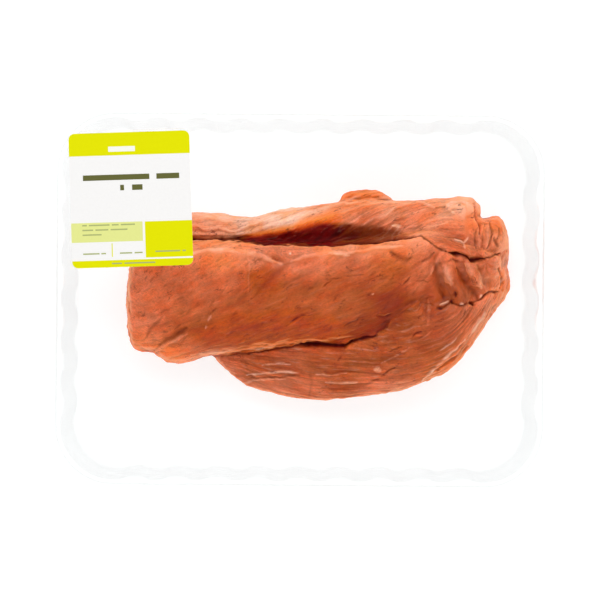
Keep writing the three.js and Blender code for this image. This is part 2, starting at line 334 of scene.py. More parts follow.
def rounded_path(corners, steps=5):
    """A path of (inset, height, rib share) through corners, each cut by its own fillet length."""
    points = np.array([corner[:3] for corner in corners], float)
    path = [points[0]]
    for i in range(1, len(points) - 1):
        before, here, after = points[i - 1], points[i], points[i + 1]
        cut = corners[i][3]
        start = here + (before - here) * min(0.5, cut / np.linalg.norm((before - here)[:2]))
        end = here + (after - here) * min(0.5, cut / np.linalg.norm((after - here)[:2]))
        for t in np.linspace(0, 1, steps):
            path.append((1 - t) ** 2 * start + 2 * t * (1 - t) * here + t * t * end)
    path.append(points[-1])
    return np.array(path)


def loft_faces(rings, count):
    """Quads between rings of equal counts, with a flat face over each end."""
    faces = [tuple(range(count - 1, -1, -1))]
    for r in range(rings - 1):
        for i in range(count):
            a, b = r * count + i, r * count + (i + 1) % count
            faces.append((a, b, b + count, a + count))
    faces.append(tuple(range((rings - 1) * count, rings * count)))
    return faces


def build_tray(material):
    """The formed tray: one thin sheet along a rounded path from its lip to its floor."""
    seal = LIP_WIDTH + STEP_WIDTH
    lip = TRAY_HEIGHT - LIP_DROP - SHEET / 2
    top = TRAY_HEIGHT - SHEET / 2
    ledge = TRAY_HEIGHT - LEDGE_DEPTH
    wall = RIM_WIDTH + LEDGE_WIDTH - 0.2
    foot = wall + DRAFT
    corners = [
        (0.02, lip - 0.6, 0, 0),
        (0.5, lip, 0, 0.5),
        (LIP_WIDTH, lip, 0, 0.7),
        (seal, top, 0, 0.9),
        (RIM_WIDTH - 0.3, top, 0, 0.8),
        (RIM_WIDTH, ledge, 0, 0.6),
        (wall, ledge - 0.6, 0.6, 0.6),
        (wall + 0.2, ledge - 3, 1, 1.2),
        (foot - 0.2, 7, 1, 1.2),
        (foot, 4.2, 0.8, 1.2),
        (foot + 1, 1.3, 0.2, 1.2),
        (foot + 3.4, SHEET / 2, 0, 1.6),
        (foot + 6.5, SHEET / 2, 0, 0),
    ]
    path = rounded_path(corners)
    step = np.gradient(path[:, :2], axis=0)
    step /= np.linalg.norm(step, axis=1)[:, None]
    normal = np.column_stack([-step[:, 1], step[:, 0]])
    above, below = path.copy(), path.copy()
    above[:, :2] += normal * SHEET / 2
    below[:, :2] -= normal * SHEET / 2
    below[:, :2] = np.maximum(below[:, :2], 0.0)
    profile = np.concatenate([below[::-1], above])
    rings = [tray_ring(*row) for row in profile]
    return make_piece("clear_tray", np.concatenate(rings), loft_faces(len(rings), len(rings[0])), material)


# Film


def film_height(x, y):
    """Slack and tension ripples of the stretched film, in millimetres."""
    reach_x, reach_y = np.abs(x) / (TRAY_LENGTH / 2), np.abs(y) / (TRAY_WIDTH / 2)
    inner = (1 - smoothstep(0.82, 0.9, reach_x)) * (1 - smoothstep(0.78, 0.87, reach_y))
    sag = -0.35 * (1 - reach_x**2) * (1 - reach_y**2)
    ripple = 0.05 * np.sin(0.115 * x + 0.052 * y + 0.6) + 0.035 * np.sin(0.06 * x - 0.17 * y + 1.9)
    corner = 0.06 * smoothstep(0.5, 0.95, reach_x * reach_y * 1.6) * np.sin(0.55 * (np.abs(x) - np.abs(y)))
    return inner * (sag + ripple + corner)


def build_film(material):
    """The top film, a thin sheet sealed to the rim and rippled over the opening."""
    inset = LIP_WIDTH + STEP_WIDTH + 0.3
    edge = tray_ring(inset, 0.0, 0.0)
    shares = np.concatenate([1 - 0.012 * np.arange(12), np.linspace(0.85, 0.03, 44)])
    base, thickness = TRAY_HEIGHT + 0.05, 0.1
    rings = []
    for side, order in ((0.0, shares[::-1]), (thickness, shares)):
        for share in order:
            ring = edge * (share, share, 0)
            ring[:, 2] = base + side + film_height(ring[:, 0], ring[:, 1])
            rings.append(ring)
    return make_piece("top_film", np.concatenate(rings), loft_faces(len(rings), len(edge)), material)


# Label


def panel_outline(x0, y0, x1, y1, corners=(0, 0, 0, 0), steps=6):
    """A rectangle's outline, its corners rounded in the order right-top, left-top, left-low, right-low."""
    points = []
    places = ((x1, y1, -1, -1), (x0, y1, 1, -1), (x0, y0, 1, 1), (x1, y0, -1, 1))
    for turn, ((x, y, sx, sy), radius) in enumerate(zip(places, corners)):
        if radius == 0:
            points.append((x, y))
            continue
        for angle in np.linspace(turn * math.pi / 2, (turn + 1) * math.pi / 2, steps + 1):
            points.append(
                (x + sx * radius + radius * math.cos(angle), y + sy * radius + radius * math.sin(angle))
            )
    return points


def label_prisms(outlines, low, high):
    """Flat prisms over outlines in the label's own frame, turned and moved to where it is stuck."""
    c, s = math.cos(LABEL_TURN), math.sin(LABEL_TURN)
    vertices, faces = [], []
    for outline in outlines:
        start, count = len(vertices), len(outline)
        for z in (low, high):
            for x, y in outline:
                vertices.append((LABEL_CENTRE[0] + x * c - y * s, LABEL_CENTRE[1] + x * s + y * c, z))
        faces.append(tuple(range(start + count - 1, start - 1, -1)))
        faces.append(tuple(range(start + count, start + 2 * count)))
        for i in range(count):
            a, b = start + i, start + (i + 1) % count
            faces.append((a, b, b + count, a + count))
    return vertices, faces


def label_box(left, top, right, bottom, corners=(0, 0, 0, 0)):
    """An outline given by distances from the label's left and top edges."""
    x, y = -LABEL_LENGTH / 2, LABEL_WIDTH / 2
    return panel_outline(x + left, y - bottom, x + right, y - top, corners)


def print_lines(lines, height):
    """Plain bars in lines: (distance from the top, [(left, right), ...]) each."""
    return [
        label_box(left, middle - height / 2, right, middle + height / 2)
        for middle, words in lines
        for left, right in words
    ]


def build_label():
    """The price label: paper, fields of colour and plain bars for its lines."""
    base = TRAY_HEIGHT + 0.9
    ink = base + LABEL_THICKNESS
    once, twice = ink + PRINT_THICKNESS, ink + 2 * PRINT_THICKNESS
    r = LABEL_CORNER
    sheet = [label_box(0, 0, LABEL_LENGTH, LABEL_WIDTH, (r, r, r, r))]
    bands = [
        label_box(0, 0, LABEL_LENGTH, 9.6, (r, r, 0, 0)),
        label_box(31.1, 37.9, LABEL_LENGTH, 53.1),
        label_box(0, 53.8, LABEL_LENGTH, LABEL_WIDTH, (0, 0, r, r)),
        label_box(16.8, 46.7, 17.2, 52.4),
    ]
    field = [label_box(0, 37.8, 30.1, 46.0)]
    bars = print_lines([(18.9, [(5.6, 33.6), (36.6, 46.2)]), (23.3, [(21.2, 22.8), (26.2, 30.6)])], 2.3)
    small = [
        (38.9, [(4.7, 6.6), (7.5, 16.2), (17.2, 20.0), (21.0, 26.9)]),
        (40.9, [(4.7, 9.2), (10.2, 15.6), (16.6, 23.7)]),
        (42.9, [(4.7, 12.7)]),
        (50.9, [(4.7, 11.6), (12.4, 14.3), (20.2, 25.4), (26.4, 29.8)]),
        (50.6, [(35.2, 45.6), (46.6, 48.0)]),
        (55.2, [(16.7, 21.0), (22.0, 35.0)]),
    ]
    mark = [label_box(16.6, 5.9, 27.9, 8.1)]
    layers = [  # piece, material, colour, outlines, bottom and top
        ("label_paper", "label_paper", (252, 250, 248), sheet, base, ink),
        ("label_bands", "label_lime", (233, 232, 0), bands, ink, once),
        ("label_pale_field", "label_pale_lime", (234, 238, 148), field, ink, once),
        ("label_bars", "label_print", (104, 104, 58), bars, ink, once),
        ("label_small_bars", "label_faint_print", (176, 184, 120), print_lines(small, 0.55), ink, twice),
        ("label_white_bar", "label_white_print", (253, 253, 240), mark, ink, twice),
    ]
    return [
        make_piece(name, *label_prisms(outlines, low, high), printed_paper(paper, colour), smooth=False)
        for name, paper, colour, outlines, low, high in layers
    ]


# Meat

# Its lines are placed by the pixels at which the straight-down view shows them, 600 across.
BACK_CREASE = [
    (120, 236), (193, 238.5), (213, 238.5), (236, 239.5), (254, 241.5), (270, 243.5), (307, 243),
    (330, 243.5), (375, 241.5), (391, 239), (405, 238), (416, 236.2), (422, 236), (430, 242),
    (440, 248.5), (450, 252.5), (461, 254.5), (470, 258.5), (479, 260), (486, 258.5), (493, 256),
    (500, 252.7), (515, 247),
]
FRONT_CREASE = [
    (211, 400), (213, 357), (222, 357), (248, 353.5), (274, 349.3), (301, 345.5), (320, 344.8),
    (345.5, 346), (352, 342), (360, 339.3), (375, 335.5), (380, 331), (388, 324.5), (396.5, 317),
    (406.7, 308), (417, 302), (428, 303), (437, 307), (443, 307.5), (451, 301.5), (456, 304),
    (462, 306), (470.5, 303), (479.4, 299.5), (489.6, 292.8), (498.6, 291.5), (507, 289), (520, 284),
]
FRONT_OUTLINE = [
    (200, 356), (222, 366), (240, 381), (265, 392), (314, 401), (350, 398), (400, 390), (425, 382),
    (455, 366), (482, 332), (500, 306), (515, 285),
]
# The back lobe's lip, and the slope from it down to the crease, which is painted in shade
BACK_LIP = [
    (180, 233), (215, 234), (236, 235), (254, 230.5), (274, 224.5), (293, 219), (307, 213.5),
    (321, 209.5), (333, 205), (360, 196), (440, 160),
]
SLOPE_TOP = [
    (120, 236.5), (240, 236), (262, 236.5), (274, 235.5), (294, 231.5), (307, 228), (318, 225),
    (330, 224), (345, 223.5), (360, 225.5), (375, 226.5), (395, 231), (410, 235), (416, 236.2),
]
# How dark the slope's painted shade is along its length
SLOPE_SHADE_DEPTH = [(180, 1.0), (340, 0.97), (380, 0.74), (406, 0.62), (420, 0.0)]
# A smooth line along the front lobe's strands
FRONT_GRAIN = [(200, 357), (300, 346), (375, 336), (425, 312), (470, 286), (515, 258)]
# The line where the upper lobe's top turns down to the back crease
UPPER_RIDGE = [
    (120, 256), (193, 254), (206, 250), (222, 249.3), (238, 250.6), (258, 254.6), (271, 260),
    (281, 264), (291, 261.5), (301, 256.6), (314, 254.6), (330, 252), (348, 253.5), (366, 250),
    (376, 247.6), (402, 246.3), (422, 238),
]
# Where the upper lobe's band ends, and where the grain starts to fan out from one place
BAND_END = 425
UPPER_FAN = 436
BACK_FAN = 466
FAN_CENTRE = (487, 262)
FAN_SPREAD = 22
# The front lobe's width along its strands, and how steeply the upper lobe's fibres rise
BELLY = 46
GRAIN_SLANT = math.radians(30)
# Where the upper lobe is scratched, across and down
SCRATCHED = ((138, 428), (258, 345))
# Where the back lobe's bright lip comes up, and where it fades
LIP_START = (234, 250)
LIP_END = (326, 350)

# Folds and creases: pixels, rise in mm, half width in pixels, shade from -1, painted shade in deep red, to
# 1, pale fat or a painted highlight
CREASES = [
    (BACK_CREASE[1:12], -1.6, 2.0, -1.0),
    (BACK_CREASE[11:16], -0.8, 1.3, -0.4),
    (BACK_CREASE[15:20], -1.8, 2.6, -1.0),
    (BACK_CREASE[19:22], -0.9, 1.3, -0.5),
    (FRONT_CREASE[2:5], -0.4, 1.0, -0.25),
    (FRONT_CREASE[3:7], -0.6, 1.2, -0.6),
    (FRONT_CREASE[5:9], -1.3, 2.8, -1.0),
    (FRONT_CREASE[7:11], -0.9, 1.9, -0.9),
    (FRONT_CREASE[10:13], -0.2, 2.4, -0.4),
    (FRONT_CREASE[12:16], 0.8, 3.0, 0.0),
    (FRONT_CREASE[17:24], -0.4, 1.2, -0.3),
    (FRONT_CREASE[23:26], -0.8, 1.2, -0.75),
]
FOLDS = [
    ([(292, 262), (283, 267), (276, 272), (270, 278), (263, 287), (256.6, 295)], -0.1, 3.4, -0.22),
    ([(158, 349), (166, 341), (177, 334), (186, 328)], -0.4, 3.2, -0.3),
    ([(147.5, 337), (150, 330), (154.8, 323.5), (161.5, 318)], -0.3, 2.4, -0.25),
    ([(435, 264), (436, 272), (438, 284), (443, 297)], -0.5, 4.2, -0.34),
    ([(457, 268), (461, 274), (467, 283), (475, 294), (477, 299)], -0.5, 3.6, -0.38),
    ([(478, 266), (481, 274), (485, 284)], -0.4, 3.0, -0.26),
    ([(391, 252), (397, 257), (403, 260), (410, 258)], -0.8, 3.4, -0.25),
    ([(475, 203), (475.5, 212), (477, 219), (480, 226), (479, 234)], -2.2, 1.6, -0.25),
    ([(478, 226), (474.5, 234), (474.5, 243), (477, 250)], -0.3, 1.1, -0.3),
    ([(484.5, 225), (482, 234), (482, 243), (484, 250)], -0.2, 0.9, -0.25),
    ([(488, 221), (492, 231), (490.5, 241), (487, 249)], -0.4, 1.2, -0.4),
    ([(498, 227), (499, 234), (496.5, 242)], -0.3, 1.0, -0.25),
    ([(494, 238), (496, 243), (498, 246)], -0.5, 1.8, -0.5),
    ([(422, 262), (430, 257), (434, 252)], -0.5, 1.6, -0.25),
    ([(196, 227), (205, 232), (219, 231), (231, 234)], -0.3, 1.4, -0.06),
    ([(236, 234), (248, 229), (262, 225.5)], -0.2, 1.2, -0.06),
    ([(437, 371), (448, 363.5), (459, 355.5), (468, 345)], -0.7, 1.8, -0.3),
    ([(340, 200), (349, 201.5), (357, 198), (366, 196.5), (378, 196.5)], -0.4, 1.8, -0.12),
    ([(310, 371), (311, 384), (309, 397)], -0.1, 1.8, -0.16),
    ([(330, 374), (352, 372), (372, 373.5), (384, 373)], -0.3, 1.2, -0.25),
    ([(251, 378), (275, 377), (300, 376)], -0.4, 1.0, -0.25),
    ([(322, 388), (345, 387.5), (364, 385), (378, 379)], -0.3, 2.0, -0.22),
    ([(377, 316), (384, 318), (391, 314)], -0.4, 1.6, -0.25),
    ([(448, 262), (453, 259), (459, 261)], -0.5, 1.4, -0.25),
    ([(499, 268), (503, 279), (500, 288)], -0.8, 1.1, -0.4),
]
SLITS = [
    ([(290, 323), (295, 320.5), (300, 317.5)], -0.5, 0.8, -0.6),
    ([(301, 316.5), (306, 315.5)], -0.4, 0.8, -0.4),
    ([(325, 279.5), (334, 279), (343, 278.3)], -0.3, 0.7, -0.35),
    ([(347, 276.5), (356, 275), (365, 273.5)], -0.3, 0.7, -0.25),
    ([(417, 281.5), (424, 280.5), (430, 282)], -0.3, 0.7, -0.4),
    ([(404, 284), (407.5, 280), (410, 277)], -0.4, 0.8, -0.6),
    ([(381, 375.5), (388, 371.5), (394, 368)], -0.5, 1.1, -0.4),
    ([(412, 338), (416, 334.5), (421, 332)], -0.4, 0.8, -0.6),
    ([(323, 287), (327, 283), (331, 281)], -0.3, 0.8, -0.4),
    ([(438, 308.5), (442, 309)], -0.9, 1.3, -0.9),
    ([(451, 300), (452.5, 303)], -0.9, 1.5, -0.9),
    ([(470, 302), (473, 304)], -0.8, 1.4, -0.8),
    ([(455, 292), (456, 296)], -0.6, 1.8, -0.7),
    ([(388, 352), (395, 349), (402, 347)], -0.3, 0.8, -0.35),
    ([(345, 326), (352, 322), (358, 320)], -0.3, 0.8, -0.35),
    ([(337, 361), (341, 356)], -0.3, 0.9, -0.35),
]
RIDGES = [
    (UPPER_RIDGE[1:8], 0.5, 2.6, 0.4),
    (UPPER_RIDGE[8:13], 0.4, 2.2, 0.2),
    ([(328, 252.5), (338, 254.5), (349, 255.3)], 0.3, 1.0, 0.5),
    (UPPER_RIDGE[12:16], 0.6, 1.5, 0.3),
    (BACK_LIP[2:10], 0.4, 2.2, 0.4),
    (BACK_LIP[:3], 0.5, 1.6, 0.3),
    ([(333, 200.4), (349.3, 204), (356, 202), (364, 199.8), (381, 199.2), (396, 199.4)], 0.4, 1.4, 0.35),
    ([(396, 199.4), (409.3, 201), (422, 203), (434.8, 207.4)], 0.6, 1.2, 0.6),
    ([(194, 223.5), (203, 229.5), (218.5, 228), (228, 230.5), (234, 232.3)], 0.5, 1.2, 0.3),
    ([(234, 232.3), (246, 226.3), (260, 223), (280, 219)], 0.5, 1.2, 0.3),
    ([(238, 221), (246, 218.8), (255, 218)], 0.4, 1.3, 0.6),
    ([(258, 224), (270, 219.5), (284, 214), (296, 211)], 0.4, 1.4, 0.45),
    ([(248.6, 250), (249, 270), (248.4, 291)], 0.15, 0.7, 0.1),
    ([(153.5, 352.3), (164, 346), (176, 339.6), (187, 334)], 0.9, 1.6, 0.18),
    ([(428.4, 299), (429, 312), (428.4, 325)], 0.3, 1.6, 0.05),
    ([(466, 262), (470.5, 269.3), (476, 278), (481, 288)], 0.7, 3.2, 0.2),
    ([(444, 250.5), (438.5, 257), (435, 263), (431.5, 274)], 0.6, 2.0, 0.1),
    ([(444, 266), (447, 274), (452, 284)], 0.7, 3.4, 0.2),
    ([(508, 260), (508, 270), (504, 279), (499, 286), (491, 290)], 0.4, 1.0, 0.35),
    ([(448, 206), (455, 205.5), (463, 207.5)], 1.2, 4.0, 0.4),
    ([(478, 229), (478.5, 239), (480, 248)], 0.35, 1.2, 0.18),
    ([(487, 228), (487, 238), (486, 248)], 0.35, 1.2, 0.18),
    ([(422, 380), (434.8, 368), (448.8, 355.3), (458, 345), (464, 338.7)], 0.5, 1.2, 0.65),
    ([(440, 351), (450, 344), (456, 338)], 0.2, 0.8, 0.4),
    ([(470, 336), (477, 324), (484, 313)], 0.3, 2.4, 0.35),
    ([(492, 313), (500, 303), (506, 293)], 0.2, 1.6, 0.45),
]
STREAKS = [
    ([(247, 374.5), (262, 372.5), (280, 371.5), (299, 374)], 0.3, 1.0, 0.6),
    ([(389, 240), (396, 232), (402, 226)], 0.2, 0.6, 0.4),
    ([(383, 238), (389, 231), (393, 227)], 0.2, 0.6, 0.3),
    ([(396, 238), (402, 231)], 0.2, 0.6, 0.3),
    ([(300, 237), (312, 231), (326, 229)], 0.2, 0.7, 0.3),
    ([(236, 383), (253, 380.5), (270, 378.5), (285, 379)], 0.2, 0.8, 0.3),
    ([(326, 382.5), (340, 382.7), (357, 382)], 0.3, 1.0, 0.45),
    ([(316, 374.5), (330, 375), (347, 374)], 0.2, 0.7, 0.3),
    ([(262, 365), (276, 364), (291, 364.5)], 0.2, 0.7, 0.35),
    ([(222, 363), (230, 374), (240, 382), (250, 388), (262, 393)], 0.2, 1.3, 0.6),
    ([(262, 393), (285, 397.5), (307, 400), (325, 401)], 0.2, 1.3, 0.6),
    ([(191, 355), (205, 354), (222, 353), (240, 351)], 0.3, 1.4, 0.55),
    ([(240, 350.5), (256, 348.5), (275, 345.5)], 0.2, 0.9, 0.4),
    ([(381, 364), (395, 356), (409, 348)], 0.2, 0.7, 0.2),
    ([(398, 331.5), (408, 329), (420, 326.5)], 0.2, 0.9, 0.15),
    ([(418, 341), (426, 335.5), (432, 330)], 0.2, 0.7, 0.15),
    ([(386, 214), (391, 211), (397, 208)], 0.3, 0.9, 0.4),
    ([(341, 229), (354, 221), (368, 212), (384, 205)], 0.25, 1.0, 0.15),
    ([(352, 231), (368, 222), (384, 215), (402, 206)], 0.25, 1.0, 0.15),
    ([(374, 229), (392, 221), (408, 214), (426, 209)], 0.25, 1.0, 0.15),
    ([(395, 232), (412, 227), (430, 221), (446, 218)], 0.25, 1.0, 0.15),
    ([(421, 229), (436, 226), (450, 222)], 0.25, 0.8, 0.3),
    ([(196, 219), (212, 216), (230, 214.5)], 0.2, 1.2, 0.4),
]
FLECKS = [
    ([(440, 304.3), (444, 303.3), (448, 301.6)], 0.7, 1.1, 0.85),
    ([(460.5, 303), (464, 304)], 0.7, 1.0, 0.85),
    ([(393, 226), (400, 227)], 0.5, 1.6, 0.95),
    ([(455, 239.5), (461, 242), (464, 243)], 0.5, 1.0, 0.8),
    ([(464, 243), (467, 237)], 0.5, 0.9, 0.7),
    ([(463, 243), (465, 248)], 0.4, 0.9, 0.7),
    ([(449, 209), (452, 212), (456, 214)], 0.3, 1.0, 0.8),
    ([(373.5, 293), (374, 294)], 0.3, 1.0, 0.9),
    ([(208, 320), (211, 316)], 0.4, 1.2, 0.25),
    ([(205, 327), (206, 325)], 0.4, 0.9, 0.35),
    ([(374, 369), (380, 370)], 0.3, 2.2, 0.55),
    ([(289, 253.5), (290, 254.5)], 0.3, 1.0, 0.7),
    ([(507, 236), (508, 244)], 0.2, 1.0, 0.5),
    ([(480, 297), (482, 295)], 0.4, 0.9, 0.8),
]

# Light that falls on level, upright and overhanging flesh, and what the sheen adds
TOP_LIGHT = 0.76
SIDE_LIGHT = 0.68
UNDER_LIGHT = 0.9
FLESH_SHEEN = 0.012
WETNESS = 0.4
# The palest flesh reflects no more than this and glows with the rest: painted light, standing in for what
# thin meat on a light table lets through
BRIGHTEST = 0.9
MOST_PAINTED_GLOW = 0.32
# How far a normal leans up where flesh starts to show from above, and where it shows fully
SEEN_FROM_ABOVE = (-0.06, 0.16)
# Meat colours as seen in the tray, first those of rims (a painted glow), lips and hollows (painted shade)
# and pale marks (fat and painted highlights)
RIM_GLOW_PEACH = (238, 148, 104)
RIM_GLOW_ORANGE = (250, 148, 88)
LIP_SHADE_ORANGE = (252, 140, 60)
LIP_SHADE_RUST = (200, 66, 4)
PALE_FAT_AND_HIGHLIGHT = (247, 202, 170)
PAINTED_SHADE_RED = (66, 1, 0)
FLESH = {
    "salmon": (222, 118, 80),
    "rose": (199, 101, 64),
    "brown": (173, 81, 41),
    "umber": (143, 52, 13),
    "sienna": (171, 70, 16),
    "plum": (168, 79, 46),
    "orange": (232, 116, 54),
    "rust": (192, 70, 14),
    "peach": (234, 142, 100),
    "pale": (247, 186, 152),
}
# Where on each lobe they lie, and how far a patch reaches across and down
PATCH_REACH = (17, 12)
# Some patches paint light and shade as well as the flesh's own tone: umber, and brown next to it, by the
# front crease are painted shade; peach on the upper lobe's back side and pale and peach on the back lobe
# are partly painted light from behind; orange near the edges is partly a painted glow
PATCHES = {
    "upper": {
        "salmon": [(132, 290), (136, 268), (500, 262), (300, 262), (132, 318), (465, 263)],
        "rose": [
            (150, 308), (146, 336), (175, 285), (205, 272), (222, 285), (420, 258), (300, 268), (350, 262),
            (422, 286), (450, 275), (488, 272), (415, 319), (196, 300), (478, 286), (152, 276), (158, 290),
            (440, 262), (142, 318), (256, 251), (187, 350),
        ],
        "brown": [
            (180, 331), (265, 296), (310, 302), (360, 312), (400, 262), (475, 271), (290, 300), (340, 290),
            (240, 300), (300, 285), (350, 276), (383, 272), (205, 312), (440, 288), (458, 282), (187, 305),
        ],
        "umber": [(404, 300), (396, 311), (384, 318), (372, 327), (447, 294)],
        "sienna": [
            (205, 337), (235, 327), (250, 341), (270, 334), (300, 330), (320, 334), (268, 284), (288, 318),
            (394, 262),
        ],
        "plum": [(447, 288), (466, 291), (430, 296)],
        "orange": [(160, 357), (178, 360), (390, 252), (130, 345), (508, 285), (216, 257)],
        "peach": [(205, 244), (240, 247), (340, 247), (380, 244), (406, 240), (180, 246)],
    },
    "back": {
        "peach": [(200, 219), (395, 210), (425, 230), (503, 242), (340, 214), (222, 228), (262, 228)],
        "pale": [
            (232, 219), (285, 212), (455, 210), (285, 220), (268, 220), (300, 213), (214, 219), (236, 227),
        ],
        "salmon": [(455, 229), (208, 232), (420, 215)],
        "orange": [
            (362, 193), (440, 203), (468, 220), (498, 226), (318, 216), (340, 196), (206, 234), (222, 234),
        ],
        "rose": [(370, 222), (345, 226), (478, 246), (400, 224), (448, 240), (484, 232), (470, 236)],
    },
    "front": {
        "rose": [(235, 364), (270, 386), (310, 390), (480, 310), (395, 381)],
        "brown": [
            (260, 365), (320, 365), (380, 355), (400, 370), (350, 388), (345, 365), (366, 346), (410, 326),
            (410, 345), (440, 350), (428, 362), (384, 338),
        ],
        "umber": [(396, 324)],
        "plum": [(290, 360), (430, 330), (462, 320), (450, 335)],
        "salmon": [(490, 300), (375, 390), (480, 330)],
        "orange": [(440, 376), (462, 361), (484, 330), (510, 292)],
    },
}


def seen_at(points):
    """The pixels at which the straight-down view shows points."""
    scale = PICTURE / FRAME_WIDTH * CAMERA_HEIGHT / (CAMERA_HEIGHT + TRAY_HEIGHT - points[:, 2])
    c, s = math.cos(CAMERA_ROLL), math.sin(CAMERA_ROLL)
    u = PICTURE / 2 + scale * (points[:, 0] * c + points[:, 1] * s)
    v = PICTURE / 2 - scale * (points[:, 1] * c - points[:, 0] * s)
    return u, v


def follow(line, u):
    across, down = zip(*line)
    return np.interp(u, across, down)


def lattice(cells, seed):
    """A repeatable random number from 0 to 1 for each whole-number cell."""
    mixed = cells[:, 0] * 374761393 + cells[:, 1] * 668265263 + cells[:, 2] * 1274126177 + seed * 974711
    mixed = mixed.astype(np.uint32)
    mixed = (mixed ^ (mixed >> np.uint32(13))) * np.uint32(1103515245)
    mixed = mixed ^ (mixed >> np.uint32(16))
    return mixed.astype(np.float64) / 4294967295.0


def noise(points, seed):
    """Smooth value noise from -1 to 1 at points measured in cells."""
    cell = np.floor(points).astype(np.int64)
    part = points - cell
    ease = part * part * (3 - 2 * part)
    total = np.zeros(len(points))
    for corner in itertools.product((0, 1), repeat=3):
        weight = np.prod(np.where(corner, ease, 1 - ease), axis=1)
        total += weight * lattice(cell + np.array(corner), seed)
    return total * 2 - 1


def on_line(line, half_width, u, v):
    """How far points lie on a line that narrows at its ends, from 0 to 1."""
    joints = np.array(line, float)
    lengths = np.hypot(*np.diff(joints, axis=0).T)
    starts = np.concatenate([[0.0], np.cumsum(lengths)])
    nearest = np.full(len(u), np.inf)
    along = np.zeros(len(u))
    for (u0, v0), (u1, v1), length, start in zip(joints, joints[1:], lengths, starts):
        step_u, step_v = (u1 - u0) / length, (v1 - v0) / length
        t = np.clip((u - u0) * step_u + (v - v0) * step_v, 0, length)
        distance = np.hypot(u - u0 - t * step_u, v - v0 - t * step_v)
        nearer = distance < nearest
        nearest = np.where(nearer, distance, nearest)
        along = np.where(nearer, start + t, along)
    share = along / starts[-1]
    narrowing = np.sqrt(np.clip(4 * np.minimum(share, 1 - share), 0.25, 1))
    return np.exp(-((nearest / (half_width * narrowing)) ** 2))


def fine_mesh(source):
    """The CAD solid's mesh as an even fine one, finer still where it faces up."""
    coarse = bpy.data.objects.new("coarse_tenderloin", source.data.copy())
    show(coarse)
    remesh = coarse.modifiers.new("remesh", "REMESH")
    remesh.mode = "VOXEL"
    remesh.voxel_size = MEAT_VOXEL * MM
    graph = bpy.context.evaluated_depsgraph_get()
    mesh = bpy.data.meshes.new_from_object(coarse.evaluated_get(graph))
    bpy.data.objects.remove(coarse)
    work = bmesh.new()
    work.from_mesh(mesh)
    work.normal_update()
    facing_up = [edge for edge in work.edges if min(v.normal.z for v in edge.verts) > LOOKS_UP[0]]
    bmesh.ops.subdivide_edges(work, edges=facing_up, cuts=1, use_grid_fill=True)
    work.to_mesh(mesh)
    work.free()
    return mesh


def read_vectors(data, name):
    values = np.zeros(len(data) * 3)
    data.foreach_get(name, values)
    return values.reshape(-1, 3)


def relaxed(points, edges, rounds):
    """Points drawn towards the mean of their neighbours, round after round."""
    moved = points.copy()
    ends = np.concatenate([edges, edges[:, ::-1]])
    neighbours = np.bincount(ends[:, 0], minlength=len(points))
    for _ in range(rounds):
        for axis in range(3):
            total = np.bincount(ends[:, 0], weights=moved[ends[:, 1], axis], minlength=len(points))
            moved[:, axis] += 0.5 * (total / neighbours - moved[:, axis])
    return moved


def set_points(mesh, points):
    """Moves a mesh's vertices to points in mm, and gives the new normals."""
    mesh.vertices.foreach_set("co", (points * MM).ravel())
    mesh.update()
    return read_vectors(mesh.vertices, "normal")


def grain_field(u, v, z, lobe):
    """Coordinates in mm that run along the fibres, across them and up."""
    mm = FRAME_WIDTH / PICTURE
    c, s = math.cos(GRAIN_SLANT), math.sin(GRAIN_SLANT)
    back, front, outline = follow(BACK_CREASE, u), follow(FRONT_GRAIN, u), follow(FRONT_OUTLINE, u)
    ridge = follow(UPPER_RIDGE, u)
    out_u, out_v = u - FAN_CENTRE[0], v - FAN_CENTRE[1]
    fan = np.column_stack([np.hypot(out_u, out_v), np.arctan2(out_v, out_u) * FAN_SPREAD])
    belly = np.column_stack([u - 0.35 * v, BELLY * (v - front) / np.maximum(outline - front, 30)])
    flat = np.column_stack([u * c - v * s, u * s + v * c])
    regions = (
        ((v < ridge + 2) & (u < BAND_END), np.column_stack([u, 1.15 * (v - 0.5 * (back + ridge))])),
        ((lobe == "upper") & (u > UPPER_FAN), fan),
        (lobe == "back", np.column_stack([u, v - follow(BACK_LIP, u)])),
        ((lobe == "back") & (u > BACK_FAN), fan),
        (lobe == "front", belly),
    )
    for where, field in regions:
        flat = np.where(where[:, None], field, flat)
    flat = flat * mm
    flat[:, 1] += np.where(lobe == "back", 0.9, -0.9) * z
    return np.column_stack([flat, z])


def scratches(u, v, facing, count=130):
    """Short shallow scratches all over the upper lobe, rising to the right."""
    random = np.random.default_rng(11)
    depth = np.zeros(len(u))
    for _ in range(count):
        at_u, at_v = (random.uniform(*span) for span in SCRATCHED)
        turn = math.radians(random.uniform(15, 60))
        half = random.uniform(1.5, 4.5)
        width = random.uniform(0.8, 1.1)
        close = (np.abs(u - at_u) < half + 2) & (np.abs(v - at_v) < half + 2)
        near = np.flatnonzero(close & (facing > 0.3))
        end_u, end_v = half * math.cos(turn), -half * math.sin(turn)
        middle = (at_u, at_v + random.uniform(-0.6, 0.6))
        line = [(at_u - end_u, at_v - end_v), middle, (at_u + end_u, at_v + end_v)]
        share = on_line(line, width, u[near], v[near]) * random.uniform(0.4, 1)
        depth[near] = np.maximum(depth[near], share)
    return depth


